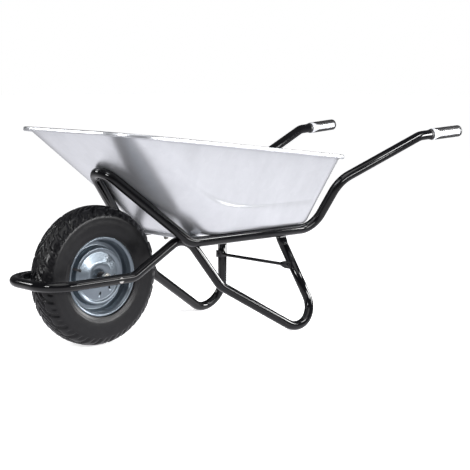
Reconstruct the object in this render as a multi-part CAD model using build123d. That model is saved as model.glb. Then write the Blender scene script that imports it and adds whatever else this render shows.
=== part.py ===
"""Single-wheel builder's barrow: bent tube frame, pressed steel tray, pneumatic wheel.

Millimetres. +X is forward (wheel end), +Y is the user's left, +Z is up, and the ground is Z = 0.
Stations along X are written from the wheel axle, and shift() then moves every piece so that the
middle of the barrow's length stands over the origin.
"""
import os
from math import atan2, cos, degrees, radians, sin, sqrt, tan

from build123d import *

# ---- driving dimensions -------------------------------------------------------------------------
AXLE_X = 510.5            # the axle's place ahead of the origin

WHEEL_R = 200.0           # tyre outside radius, also the axle's height
TYRE_HALF = 49.0          # half of the tyre's width
TYRE_BEAD_R = 106.0       # radius at which the tyre sits on the rim
TUBE_RISE = 38.0          # half the height of the inner tube's section
TUBE_HALF = 36.0          # half of its width
TUBE_SKIN = 2.5
RIM_R = 114.5             # outside radius of the rim flange
RIM_HALF = 39.5           # half of the rim's width over its flanges
RIM_SHEET = 2.0           # rim sheet thickness

HANDLE_TUBE_R = 15.0      # handle tube outside radius
HANDLE_WALL = 2.0
LOWER_TUBE_R = 14.0       # undercarriage tube outside radius
LOWER_WALL = 2.0

GRIP_END = (-1256.0, 285.0, 589.0)       # middle of the grip's rear end
HANDLE_TOP = (-1086.0, 271.0, 577.0)     # bend between grip and handle
HANDLE_KNEE = (-764.0, 225.0, 445.0)     # bend at the top of the slope behind the tray
TRAY_REAR = (-722.0, 156.0, 298.0)       # bend under the tray's rear edge
TRAY_FRONT = (-232.0, 150.0, 289.5)      # bend under the tray's front edge
FRONT_APEX = (41.0, 0.0, 549.5)          # where the two front slopes would meet
HANDLE_BENDS = (70.0, 85.0, 70.0, 45.0)  # centreline bend radii, grip to tray front
FRONT_BEND = 50.0                        # bend radius of the front loop

LEG_TOP_Z = 252.0                        # where the rear leg starts to flatten
LEG_TOP = (-604.0, 135.5, 296.0)         # middle of the flattened leg end
FOOT = (-710.0, 252.0, -67.3)
KNEE = (-340.0, 157.0, 154.5)            # bend between skid and front leg
CREST = (-238.0, 115.0, 311.0)           # bend beside the tray's front edge
FORK_REAR = (-52.0, 115.5, 202.8)        # bend at the rear of the fork
FORK_FRONT = (230.0, 115.5, 196.6)       # corner of the front bumper
FOOT_BEND = 67.0
KNEE_BEND = 60.0
CREST_BEND = 57.0
FORK_BEND = 55.0
BUMPER_BEND = 83.0

SHEET = 1.5               # tray sheet thickness
TRAY_TILT = degrees(atan2(TRAY_REAR[2] - TRAY_FRONT[2], TRAY_FRONT[0] - TRAY_REAR[0]))
FLOOR_FRONT = 7.2         # floor's front edge, measured back from TRAY_FRONT
FLOOR_REAR = 472.0        # floor's rear edge, measured back from TRAY_FRONT
FLOOR_HALF = 166.0        # half of the floor's width
CREASE_Z = 82.0           # height of the side crease over the floor
CREASE_HALF = 214.0       # half of the width at the crease
RIM_Z_FRONT = 316.0       # height of the rim over the floor line at its front edge
RIM_Z_REAR = 214.0        # the same at its rear edge
RIM_X_FRONT = 315.0       # wall's front edge at the rim, ahead of TRAY_FRONT
RIM_X_REAR = 505.0        # wall's rear edge at the rim, behind TRAY_FRONT
RIM_HALF_FRONT = 277.0    # half of the width over the walls at the front of the rim
RIM_HALF_REAR = 301.0     # the same at the rear
FRONT_CORNERS = (112.0, 155.0, 118.0)    # front corner radii: floor, crease, rim
REAR_CORNERS = (48.0, 56.0, 72.0)        # rear corner radii: floor, crease, rim
LIP_OUT = 13.0            # how far the rolled lip stands out from the walls
LIP_DROP = 12.5           # how far the lip's edge hangs down
FLOOR_FILLET = 30.0       # bend between floor and walls

CROSSBAR_WIDTH = 25.0     # rectangular tubes across the frame, under the tray
CROSSBAR_DEPTH = 13.0
CROSSBAR_WALL = 1.5
FRONT_BAR_X = 30.0        # behind TRAY_FRONT
REAR_BAR_X = 400.0
REAR_BOLT_Y = 90.0        # the two rear tray bolts

BRACE_R = 5.0             # leg brace, a thin tube with flattened ends
BRACE_Z = 191.0
BRACE_FLAT = 22.0         # width of the flattened ends
BRACE_FLAT_THICK = 5.0

BOLT_R = 4.0              # M8 bolts throughout
HOLE_R = 4.2
HEAD_R = 8.0
HEAD_H = 4.0
NUT_FLATS = 13.0
NUT_H = 6.5
WASHER_R = 9.0
WASHER_H = 1.6

RING_R = 79.0             # raised ring of the rim disc
RING_Y = 23.0             # its height over the wheel's middle plane
RIM_HOLE_R = 3.5          # two small holes in the outer disc
RIM_HOLE_CIRCLE = 49.0
RIM_HOLE_TURNS = (2.0, 44.0)             # their places, in degrees to the rear of straight down
VALVE_R = 4.0
VALVE_ANGLE = 18.0        # the valve's place, in degrees over straight ahead
VALVE_FOOT_R = 107.0      # radius and offset of the stem's foot, inside the inner tube's wall
VALVE_FOOT_Y = 12.0
VALVE_TIP_R = 78.0        # the same for its tip
VALVE_TIP_Y = 31.0

AXLE_R = 8.0              # fixed axle
AXLE_FIT = 0.08           # radial running clearance of the bushes on the axle
AXLE_END_GAP = 0.6        # how far the axle's ends stay inside the fork tubes' outer sides
BUSH_R = 12.5             # outside of the bushes, a press fit in the hub tube
BUSH_LENGTH = 20.0
BUSH_FLANGE_R = 14.5
BUSH_FLANGE = 3.0
HUB_R = 15.5
HUB_HALF = 31.0           # half of the hub tube's length
SPACER_R = 10.5           # sleeve between bush and inner nut
SPACER_LENGTH = 18.0
AXLE_NUT_FLATS = 24.0
AXLE_NUT_H = 9.0
SIDE_PLAY = 0.5           # the wheel's free play along the axle, each side

GRIP_R = 18.6             # grip outside radius
GRIP_CORE_R = 17.2        # radius of the hard core between the soft pads
GRIP_LENGTH = 128.0
GRIP_END_CAP = 8.0        # length of the rounded end
GRIP_COLLAR = 14.0        # length of the bare collar at the tube side
GRIP_PAD_HALF = 62.0      # half of the angle a pad covers
CUFF_LENGTH = 9.0
CUFF_R = 17.4

LEFT, RIGHT = 1, -1


# ---- helpers ------------------------------------------------------------------------------------
def mirrored(point, side):
    """A point of the left side, or its image on the right side."""
    return Vector(point[0], point[1] * side, point[2])


def bent_path(points, radii):
    """A wire through the points, with a round bend of the given radius at each inner point."""
    points = [Vector(*p) if isinstance(p, tuple) else p for p in points]
    edges = []
    start = points[0]
    for before, corner, after, radius in zip(points, points[1:], points[2:], radii):
        back = (before - corner).normalized()
        ahead = (after - corner).normalized()
        half = radians(back.get_angle(ahead)) / 2
        reach = radius / tan(half)
        bisector = (back + ahead).normalized()
        first = corner + back * reach
        last = corner + ahead * reach
        middle = corner + bisector * (radius / sin(half) - radius)
        edges.append(Line(start, first).edge())
        edges.append(ThreePointArc(first, middle, last).edge())
        start = last
    edges.append(Line(start, points[-1]).edge())
    return Wire(edges)


def swept(path, radius):
    """A round bar of the given radius along a path."""
    section = Plane(origin=path @ 0, z_dir=path % 0) * Circle(radius)
    return sweep(section, path=path)


def tube(path, radius, wall):
    """A round tube along a path."""
    return swept(path, radius) - swept(path, radius - wall)


def bar(start, end, radius):
    """A round bar between two points."""
    start = Vector(*start) if isinstance(start, tuple) else start
    end = Vector(*end) if isinstance(end, tuple) else end
    length = (end - start).length
    place = Plane(origin=start, z_dir=end - start)
    return extrude(place * Circle(radius), amount=length)


def ring(place, outer, inner, length):
    """A plain ring that stands on a plane."""
    return extrude(place * (Circle(outer) - Circle(inner)), amount=length)


def hex_nut(place, flats=NUT_FLATS, height=NUT_H, bore=BOLT_R):
    """A nut that stands on a plane, with the corners of its outer face turned off."""
    corner = flats / sqrt(3)
    body = extrude(place * (RegularPolygon(corner, 6) - Circle(bore)), amount=height)
    cone = extrude(place * Circle(flats / 2 + height * 1.1), amount=height, taper=45)
    return body & cone


def bolt(place, length):
    """A dome-headed bolt: the head stands on the plane and the shank runs back through it."""
    dome = HEAD_R ** 2 / (2 * HEAD_H) + HEAD_H / 2
    ball = place * Pos(0, 0, HEAD_H - dome) * Sphere(dome)
    head = ball & extrude(place * Circle(HEAD_R), amount=HEAD_H)
    shank = extrude(place * Circle(BOLT_R), amount=-length)
    return head + shank


def shift(part):
    """Moves a piece from axle stations to the barrow's own origin."""
    return Pos(AXLE_X, 0, 0) * part


# ---- frame tubes --------------------------------------------------------------------------------
def handle_path():
    """Left grip, under the tray, round the front loop and back to the right grip."""
    stations = [GRIP_END, HANDLE_TOP, HANDLE_KNEE, TRAY_REAR, TRAY_FRONT]
    left = [mirrored(p, LEFT) for p in stations]
    right = [mirrored(p, RIGHT) for p in reversed(stations)]
    left[0] = left[1] + (left[0] - left[1]) * 0.96
    right[-1] = right[-2] + (right[-1] - right[-2]) * 0.96
    bends = list(HANDLE_BENDS) + [FRONT_BEND] + list(reversed(HANDLE_BENDS))
    return bent_path(left + [Vector(*FRONT_APEX)] + right, bends)


def leg_end():
    """Where the round part of the rear leg stops."""
    foot = Vector(*FOOT)
    top = Vector(LEG_TOP[0], LEG_TOP[1] - 1.0, LEG_TOP[2] - 24.0)
    part = (LEG_TOP_Z - foot.Z) / (top.Z - foot.Z)
    return foot + (top - foot) * part


def lower_path():
    """Left rear leg, skid, front leg, fork, bumper and back to the right rear leg."""
    end = leg_end()
    stations = [end, FOOT, KNEE, CREST, FORK_REAR, FORK_FRONT]
    stations = [Vector(*p) if isinstance(p, tuple) else p for p in stations]
    left = [mirrored((p.X, p.Y, p.Z), LEFT) for p in stations]
    right = [mirrored((p.X, p.Y, p.Z), RIGHT) for p in reversed(stations)]
    bends = [FOOT_BEND, KNEE_BEND, CREST_BEND, FORK_BEND, BUMPER_BEND]
    return bent_path(left + right, bends + list(reversed(bends)))


def flattened_end(side):
    """The rear leg's top, pressed flat against the inner side of the handle tube."""
    foot = mirrored(FOOT, side)
    end = leg_end()
    end = mirrored((end.X, end.Y, end.Z), side)
    round_place = Plane(origin=end, x_dir=(1, 0, 0), z_dir=end - foot)
    flat_place = Plane(origin=(LEG_TOP[0], LEG_TOP[1] * side, LEG_TOP[2] - 20), x_dir=(1, 0, 0), z_dir=(0, 0, 1))
    neck = loft([round_place * Circle(LOWER_TUBE_R), flat_place * RectangleRounded(38, 8, 3.9)])
    blade = extrude(flat_place * RectangleRounded(38, 8, 3.9), amount=33)
    return neck + blade


def brace_end():
    """Middle of the rear leg at the height of the brace."""
    foot = Vector(*FOOT)
    end = leg_end()
    return foot + (end - foot) * ((BRACE_Z - foot.Z) / (end.Z - foot.Z))


def handle_frame():
    """The upper tube, from grip to grip."""
    return tube(handle_path(), HANDLE_TUBE_R, HANDLE_WALL)


def undercarriage():
    """The lower tube: legs, skids, fork and bumper in one bent length."""
    body = tube(lower_path(), LOWER_TUBE_R, LOWER_WALL)
    for side in (LEFT, RIGHT):
        body += flattened_end(side)
    body -= swept(handle_path(), HANDLE_TUBE_R)
    body -= bar((0, -200, WHEEL_R), (0, 200, WHEEL_R), AXLE_R)
    middle = brace_end()
    for side in (LEFT, RIGHT):
        body -= bar((middle.X, side * middle.Y, BRACE_Z), (middle.X + 60, side * middle.Y, BRACE_Z), BOLT_R)
    return body


# ---- tray ---------------------------------------------------------------------------------------
def tray_place():
    """Plane of the tray floor: its origin is over the front bend and its X runs forward."""
    tilt = radians(TRAY_TILT)
    origin = (TRAY_FRONT[0], 0, TRAY_FRONT[2] + HANDLE_TUBE_R / cos(tilt))
    return Plane(origin=origin, x_dir=(cos(tilt), 0, -sin(tilt)), z_dir=(sin(tilt), 0, cos(tilt)))


def outline(place, front, rear, front_half, rear_half, front_corner, rear_corner):
    """A four-sided outline with rounded corners, as a face on a plane."""
    flat = Polygon(
        (front, front_half), (-rear, rear_half), (-rear, -rear_half), (front, -front_half), align=None
    )
    ordered = flat.vertices().sort_by(Axis.X)
    flat = fillet(ordered[:2], rear_corner)
    ordered = flat.vertices().sort_by(Axis.X)
    flat = fillet(ordered[-2:], front_corner)
    return place * flat


def rim_place():
    """Plane of the rim, which falls toward the rear. Its X axis follows the fall."""
    floor = tray_place()
    fall = atan2(RIM_Z_FRONT - RIM_Z_REAR, RIM_X_FRONT + RIM_X_REAR)
    middle_z = RIM_Z_FRONT - tan(fall) * RIM_X_FRONT
    local = Plane(origin=(0, 0, middle_z), x_dir=(cos(fall), 0, sin(fall)), z_dir=(-sin(fall), 0, cos(fall)))
    return Plane(floor.location * local.location), 1 / cos(fall)


def rim_outline(grow, lift=0.0):
    """The rim's outline, grown outward and lifted off the rim plane."""
    place, stretch = rim_place()
    return outline(
        place.offset(lift),
        RIM_X_FRONT * stretch + grow,
        RIM_X_REAR * stretch + grow,
        RIM_HALF_FRONT + grow,
        RIM_HALF_REAR + grow,
        FRONT_CORNERS[2] + grow,
        REAR_CORNERS[2] + grow,
    )


def tray_hull(inset, lift=0.0):
    """The tray as a solid block, drawn in by inset on every wall and floor."""
    floor = tray_place()
    up = CREASE_Z / RIM_Z_FRONT
    crease_front = -FLOOR_FRONT + (RIM_X_FRONT + FLOOR_FRONT) * up
    crease_rear = FLOOR_REAR + (RIM_X_REAR - FLOOR_REAR) * CREASE_Z / RIM_Z_REAR
    low = outline(
        floor.offset(inset), -FLOOR_FRONT - inset, FLOOR_REAR - inset,
        FLOOR_HALF - inset, FLOOR_HALF - inset, FRONT_CORNERS[0] - inset, REAR_CORNERS[0] - inset,
    )
    middle = outline(
        floor.offset(CREASE_Z), crease_front - inset, crease_rear - inset,
        CREASE_HALF - inset, CREASE_HALF - inset, FRONT_CORNERS[1] - inset, REAR_CORNERS[1] - inset,
    )
    block = loft([low, middle, rim_outline(-inset, lift)], ruled=True)
    floor_edges = block.faces().filter_by(lambda f: f.normal_at().dot(floor.z_dir) < -0.999).edges()
    return fillet(floor_edges, FLOOR_FILLET - inset)


def tray():
    """The pressed tray with its turned-down lip and the holes for its bolts."""
    drop = LIP_DROP - SHEET
    body = tray_hull(0.0, SHEET / 2)
    body += extrude(rim_outline(LIP_OUT, -drop), amount=LIP_DROP)
    body -= extrude(rim_outline(LIP_OUT - SHEET, -drop - 1.0), amount=drop + 1.0) - tray_hull(0.0, SHEET / 2)
    body -= tray_hull(SHEET, SHEET + 0.2)
    for spot in tray_bolt_spots():
        body -= extrude(spot * Circle(HOLE_R), amount=40, both=True)
    return body


def tray_bolt_spots():
    """Planes on the floor's upper face at the three tray bolts."""
    top = tray_place().offset(SHEET)
    spots = [(-FRONT_BAR_X, 0.0), (-REAR_BAR_X, REAR_BOLT_Y), (-REAR_BAR_X, -REAR_BOLT_Y)]
    return [Plane(top.from_local_coords((x, y, 0)), x_dir=top.x_dir, z_dir=top.z_dir) for x, y in spots]


def crossbar(back, drill_ys):
    """A rectangular tube across the frame, its ends cut to fit the tubes it is welded to."""
    under = tray_place()
    centre = under.from_local_coords((-back, 0, -CROSSBAR_DEPTH / 2))
    place = Plane(centre, x_dir=under.x_dir, z_dir=(0, 1, 0))
    half_length = TRAY_REAR[1] - 5.0
    outside = RectangleRounded(CROSSBAR_WIDTH, CROSSBAR_DEPTH, 2.5)
    inside = RectangleRounded(CROSSBAR_WIDTH - 2 * CROSSBAR_WALL, CROSSBAR_DEPTH - 2 * CROSSBAR_WALL, 1.0)
    body = extrude(place * (outside - inside), amount=half_length, both=True)
    body -= swept(handle_path(), HANDLE_TUBE_R)
    body -= swept(lower_path(), LOWER_TUBE_R)
    for side in (LEFT, RIGHT):
        body -= flattened_end(side)
    for y in drill_ys:
        spot = under.from_local_coords((-back, y, 0))
        body -= extrude(Plane(spot, z_dir=under.z_dir) * Circle(HOLE_R), amount=30, both=True)
    return max(body.solids(), key=lambda s: s.volume)


# ---- leg brace ----------------------------------------------------------------------------------
def leg_brace():
    """A thin tube between the rear legs, its flattened ends bolted to the fronts of the legs."""
    middle = brace_end()
    face_x = middle.X + LOWER_TUBE_R
    axis_x = face_x + BRACE_FLAT_THICK / 2
    flat_start = middle.Y - 38.0
    body = bar((axis_x, -flat_start, BRACE_Z), (axis_x, flat_start, BRACE_Z), BRACE_R)
    for side in (LEFT, RIGHT):
        round_place = Plane((axis_x, side * flat_start, BRACE_Z), x_dir=(1, 0, 0), z_dir=(0, side, 0))
        wide_place = Plane((axis_x, side * (flat_start + 22), BRACE_Z), x_dir=(1, 0, 0), z_dir=(0, side, 0))
        section = Rectangle(BRACE_FLAT_THICK, BRACE_FLAT)
        body += loft([round_place * Circle(BRACE_R), wide_place * section])
        body += extrude(wide_place * section, amount=middle.Y + 9.0 - flat_start - 22)
        body -= bar((axis_x - 20, side * middle.Y, BRACE_Z), (axis_x + 20, side * middle.Y, BRACE_Z), HOLE_R)
    return body - swept(lower_path(), LOWER_TUBE_R)


def brace_bolts():
    """Bolts through the brace ends, threaded into the fronts of the legs."""
    middle = brace_end()
    front = middle.X + LOWER_TUBE_R + BRACE_FLAT_THICK
    reach = BRACE_FLAT_THICK + LOWER_WALL + 6.0
    return [bolt(Plane((front, side * middle.Y, BRACE_Z), z_dir=(1, 0, 0)), reach) for side in (LEFT, RIGHT)]


# ---- tray fasteners -----------------------------------------------------------------------------
def tray_fasteners():
    """Domed bolts in the tray floor, washers and nuts under the crossbars."""
    bolts = []
    washers = []
    nuts = []
    grip = SHEET + CROSSBAR_DEPTH
    for spot in tray_bolt_spots():
        under = spot.offset(-grip)
        down = Plane(under.origin, x_dir=under.x_dir, z_dir=-under.z_dir)
        bolts.append(bolt(spot, grip + WASHER_H + NUT_H + 2))
        washers.append(ring(down, WASHER_R, BOLT_R, WASHER_H))
        nuts.append(hex_nut(down.offset(WASHER_H)))
    return bolts, washers, nuts


# ---- wheel --------------------------------------------------------------------------------------
def wheel_plane():
    """Plane through the axle in which wheel profiles are drawn: X is radius, Y is along the axle."""
    return Plane(origin=(0, 0, WHEEL_R), x_dir=(0, 0, 1), z_dir=(-1, 0, 0))


def turned(profile):
    """Revolves a profile, drawn as (radius, offset along the axle), about the wheel's axis."""
    face = wheel_plane() * profile
    return revolve(face, axis=Axis((0, 0, WHEEL_R), (0, 1, 0)), revolution_arc=360)


def casing(crown, half, bead, bead_half):
    """A tyre section: round above, with flat sides that close on the bead."""
    left = [(crown - 4.0, half * 0.55), (crown - 19.0, half * 0.89), (crown - 47.0, half)]
    left += [(crown - 73.0, half * 0.95), (bead, bead_half)]
    right = [(r, -y) for r, y in reversed(left)]
    crown_curve = Spline(*right, (crown, 0.0), *left)
    return make_face([crown_curve.edge(), Line(left[-1], right[0]).edge()])


def tyre():
    """The tyre's casing, hollow inside and open between the beads."""
    outer = turned(casing(WHEEL_R, TYRE_HALF, TYRE_BEAD_R, 36.0))
    inner = turned(casing(WHEEL_R - 12.0, TYRE_HALF - 7.0, TYRE_BEAD_R - 2.0, 27.0))
    body = outer - inner - rim_sheet(LEFT) - rim_sheet(RIGHT)
    return max(body.solids(), key=lambda s: s.volume)


def inner_tube():
    """The air tube inside the casing."""
    middle = Pos((TYRE_BEAD_R + WHEEL_R) / 2 - 5.0, 0)
    section = middle * Ellipse(TUBE_RISE, TUBE_HALF) - middle * Ellipse(TUBE_RISE - TUBE_SKIN, TUBE_HALF - TUBE_SKIN)
    return turned(section)


def valve_line():
    """Foot and tip of the valve stem, inside the left half of the rim."""
    turn = radians(VALVE_ANGLE)
    foot = Vector(VALVE_FOOT_R * cos(turn), VALVE_FOOT_Y, WHEEL_R + VALVE_FOOT_R * sin(turn))
    tip = Vector(VALVE_TIP_R * cos(turn), VALVE_TIP_Y, WHEEL_R + VALVE_TIP_R * sin(turn))
    return foot, tip


def rim_sheet(side):
    """The pressed sheet of one rim half: flange, bead seat, well and dished disc."""
    bends = [
        (RIM_R - 1.0, RIM_HALF - 1.0), (RIM_R - 7.0, RIM_HALF - 2.2), (RIM_R - 10.0, RIM_HALF - 6.0),
        (RIM_R - 11.0, 14.0), (98.0, 1.0), (85.0, 1.0), (RING_R + 1.5, RING_Y), (RING_R - 4.0, RING_Y),
        (RING_R - 9.0, RING_Y - 5.0), (40.0, 27.0), (HUB_R - 1.0, 28.0),
    ]
    line = FilletPolyline(*[(r, y * side) for r, y in bends], radius=2.4)
    return turned(trace(line, line_width=RIM_SHEET))


def rim_half(side):
    """One half of the rim, with the hole for the hub tube and, on the left, for the valve."""
    body = rim_sheet(side) - bar((0, -60, WHEEL_R), (0, 60, WHEEL_R), HUB_R)
    if side == LEFT:
        foot, tip = valve_line()
        body -= bar(foot - (tip - foot) * 0.5, tip, VALVE_R + 0.5)
        for turn in RIM_HOLE_TURNS:
            x = -RIM_HOLE_CIRCLE * sin(radians(turn))
            z = WHEEL_R - RIM_HOLE_CIRCLE * cos(radians(turn))
            body -= bar((x, 5, z), (x, 60, z), RIM_HOLE_R)
    return body


def valve_stem():
    """The rubber-covered stem between the inner tube and the cap."""
    foot, tip = valve_line()
    return bar(foot, tip, VALVE_R) - inner_tube()


def valve_cap():
    """The cap on the end of the stem."""
    foot, tip = valve_line()
    ahead = (tip - foot).normalized()
    return bar(tip, tip + ahead * 6.0, VALVE_R + 0.6)


def hub_tube():
    """The tube through the middle of the wheel, welded to both discs."""
    place = Plane(origin=(0, -HUB_HALF, WHEEL_R), z_dir=(0, 1, 0))
    return ring(place, HUB_R, BUSH_R, 2 * HUB_HALF)


def hub_bush(side):
    """A flanged plastic bush, pressed into one end of the hub tube."""
    face = Plane(origin=(0, side * HUB_HALF, WHEEL_R), z_dir=(0, side, 0))
    bore = AXLE_R + AXLE_FIT
    flange = ring(face, BUSH_FLANGE_R, bore, BUSH_FLANGE)
    sleeve = ring(face.offset(-BUSH_LENGTH), BUSH_R, bore, BUSH_LENGTH)
    return flange + sleeve


# ---- axle ---------------------------------------------------------------------------------------
def axle():
    """The fixed axle, its ends flush with the outer sides of the fork tubes."""
    reach = FORK_FRONT[1] + LOWER_TUBE_R - AXLE_END_GAP
    return bar((0, -reach, WHEEL_R), (0, reach, WHEEL_R), AXLE_R)


def axle_spacers():
    """Sleeves between the bushes and the inner pair of nuts."""
    start = HUB_HALF + BUSH_FLANGE + SIDE_PLAY
    parts = []
    for side in (LEFT, RIGHT):
        place = Plane(origin=(0, side * start, WHEEL_R), z_dir=(0, side, 0))
        parts.append(ring(place, SPACER_R, AXLE_R, SPACER_LENGTH))
    return parts


def axle_nuts():
    """Two nuts beside the wheel and two against the fork tubes."""
    beside_wheel = HUB_HALF + BUSH_FLANGE + SIDE_PLAY + SPACER_LENGTH
    beside_fork = FORK_FRONT[1] - LOWER_TUBE_R - AXLE_NUT_H
    parts = []
    for side in (LEFT, RIGHT):
        for y in (beside_wheel, beside_fork):
            place = Plane(origin=(0, side * y, WHEEL_R), z_dir=(0, side, 0))
            parts.append(hex_nut(place, AXLE_NUT_FLATS, AXLE_NUT_H, AXLE_R))
    return parts


# ---- grips --------------------------------------------------------------------------------------
def grip_place(side):
    """Plane at the tube side of a grip. Z runs to the rear along the tube and Y points up."""
    top = mirrored(HANDLE_TOP, side)
    end = mirrored(GRIP_END, side)
    back = (end - top).normalized()
    across = back.cross(Vector(0, 0, 1)).normalized()
    return Plane(origin=end - back * (GRIP_LENGTH - GRIP_END_CAP), x_dir=across, z_dir=back)


def grip_core(side):
    """The hard sleeve on the tube, with a bare collar and bare stripes between the pads."""
    place = grip_place(side)
    body = ring(place, GRIP_CORE_R, HANDLE_TUBE_R, GRIP_LENGTH - GRIP_END_CAP)
    collar = ring(place, GRIP_R, GRIP_CORE_R, GRIP_COLLAR)
    return body + collar


def grip_pads(side):
    """Soft pads over and under the core, joined by the rounded end cap."""
    place = grip_place(side)
    length = GRIP_LENGTH - GRIP_END_CAP
    shell = ring(place.offset(GRIP_COLLAR), GRIP_R, GRIP_CORE_R, length - GRIP_COLLAR)
    reach = 2 * GRIP_R
    spread = radians(GRIP_PAD_HALF)
    wedge = Polygon((0, 0), (reach * sin(spread), reach * cos(spread)), (-reach * sin(spread), reach * cos(spread)),
                    align=None)
    pads = shell & extrude(place * wedge, amount=GRIP_LENGTH)
    pads += shell & extrude(place * (Rot(0, 0, 180) * wedge), amount=GRIP_LENGTH)
    cap = extrude(place.offset(length) * Circle(GRIP_R), amount=GRIP_END_CAP)
    far_edge = cap.edges().sort_by(Axis(place.origin, place.z_dir))[-1]
    return pads + fillet(far_edge, GRIP_END_CAP - 1.0)


def grip_cuff(side):
    """The flared cuff between the tube and the grip."""
    place = grip_place(side)
    start = place.offset(-CUFF_LENGTH)
    body = loft([start * Circle(HANDLE_TUBE_R + 0.8), place * Circle(CUFF_R)])
    return body - extrude(start * Circle(HANDLE_TUBE_R), amount=CUFF_LENGTH)


# ---- everything ---------------------------------------------------------------------------------
def pieces():
    """Every node of the barrow by name, each a list of its solids."""
    tray_bolts, tray_washers, tray_nuts = tray_fasteners()
    return {
        "handle_frame": [handle_frame()],
        "undercarriage": [undercarriage()],
        "tray": [tray()],
        "front_crossbar": [crossbar(FRONT_BAR_X, [0.0])],
        "rear_crossbar": [crossbar(REAR_BAR_X, [-REAR_BOLT_Y, REAR_BOLT_Y])],
        "tray_bolts": tray_bolts,
        "tray_washers": tray_washers,
        "tray_nuts": tray_nuts,
        "leg_brace": [leg_brace()],
        "brace_bolts": brace_bolts(),
        "axle": [axle()],
        "axle_spacers": axle_spacers(),
        "axle_nuts": axle_nuts(),
        "grip_core_left": [grip_core(LEFT)],
        "grip_core_right": [grip_core(RIGHT)],
        "grip_pads_left": [grip_pads(LEFT)],
        "grip_pads_right": [grip_pads(RIGHT)],
        "grip_cuff_left": [grip_cuff(LEFT)],
        "grip_cuff_right": [grip_cuff(RIGHT)],
        "tyre": [tyre()],
        "inner_tube": [inner_tube()],
        "rim_half_left": [rim_half(LEFT)],
        "rim_half_right": [rim_half(RIGHT)],
        "hub_tube": [hub_tube()],
        "hub_bushes": [hub_bush(LEFT), hub_bush(RIGHT)],
        "valve_stem": [valve_stem()],
        "valve_cap": [valve_cap()],
    }


def main():
    """Builds every node and writes one STEP file for each."""
    os.makedirs("parts", exist_ok=True)
    for name, solids in pieces().items():
        moved = [shift(solid) for solid in solids]
        node = moved[0] if len(moved) == 1 else Compound(children=moved)
        export_step(node, f"parts/{name}.step")


main()
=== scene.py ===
"""Looks of the builder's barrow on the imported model's frame. Metres, in the model's own axes."""
from math import atan2, cos, degrees, exp, floor, log, pi, radians, sin, tan

import bpy
from mathutils import Matrix, Vector, noise


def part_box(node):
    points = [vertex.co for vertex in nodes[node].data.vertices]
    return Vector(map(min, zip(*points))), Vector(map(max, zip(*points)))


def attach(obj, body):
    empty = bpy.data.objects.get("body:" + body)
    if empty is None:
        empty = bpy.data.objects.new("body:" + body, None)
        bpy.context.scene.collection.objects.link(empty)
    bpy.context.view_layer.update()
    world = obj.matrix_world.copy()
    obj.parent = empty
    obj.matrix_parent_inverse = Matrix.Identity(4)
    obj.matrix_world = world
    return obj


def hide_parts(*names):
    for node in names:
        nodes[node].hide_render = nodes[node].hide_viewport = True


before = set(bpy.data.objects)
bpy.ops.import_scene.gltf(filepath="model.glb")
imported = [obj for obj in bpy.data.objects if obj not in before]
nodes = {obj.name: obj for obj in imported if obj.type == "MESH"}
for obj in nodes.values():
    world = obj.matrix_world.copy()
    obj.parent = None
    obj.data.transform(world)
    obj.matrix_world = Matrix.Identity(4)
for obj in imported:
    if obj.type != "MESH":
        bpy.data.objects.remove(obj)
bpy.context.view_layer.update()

MM = 0.001
hub_low, hub_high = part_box("hub_tube")
AXLE = (Vector(hub_low) + Vector(hub_high)) / 2
LEFT, RIGHT = 1, -1


def at(x, y, z):
    """A point given in millimetres, with X measured from the wheel axle."""
    return Vector((AXLE.x + x * MM, y * MM, z * MM))


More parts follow.
